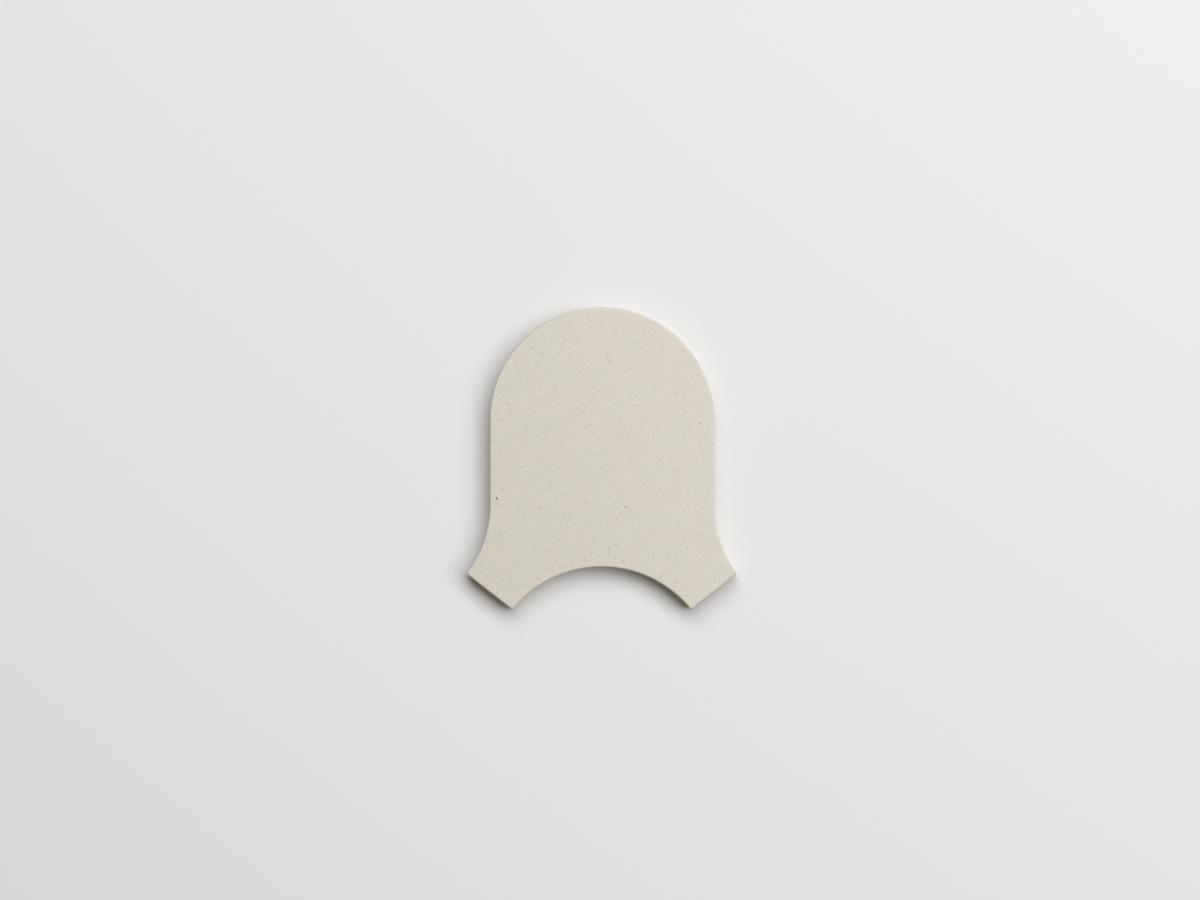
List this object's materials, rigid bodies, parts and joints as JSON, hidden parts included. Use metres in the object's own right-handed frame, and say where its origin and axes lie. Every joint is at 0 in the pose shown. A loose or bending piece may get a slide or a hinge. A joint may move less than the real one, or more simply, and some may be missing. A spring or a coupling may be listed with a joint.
{
  "type": "limestone tile",
  "caption": "Flat honed limestone tile with a domed end, straight sides, flared toes and a round seat that nests the dome of the next tile.",
  "frame": {"origin": "middle of the footprint's bounding box, on the back face", "axes": "+Z out of the honed face, +Y from the seat towards the dome, +X to the right seen from the honed face"},
  "size_m": [0.1204, 0.1345, 0.01],
  "materials": {
    "limestone": "honed, matt, fine-grained with small tan specks and a few open pits"
  },
  "bodies": {
    "root": {"limestone_tile": "limestone"}
  },
  "joints": []
}
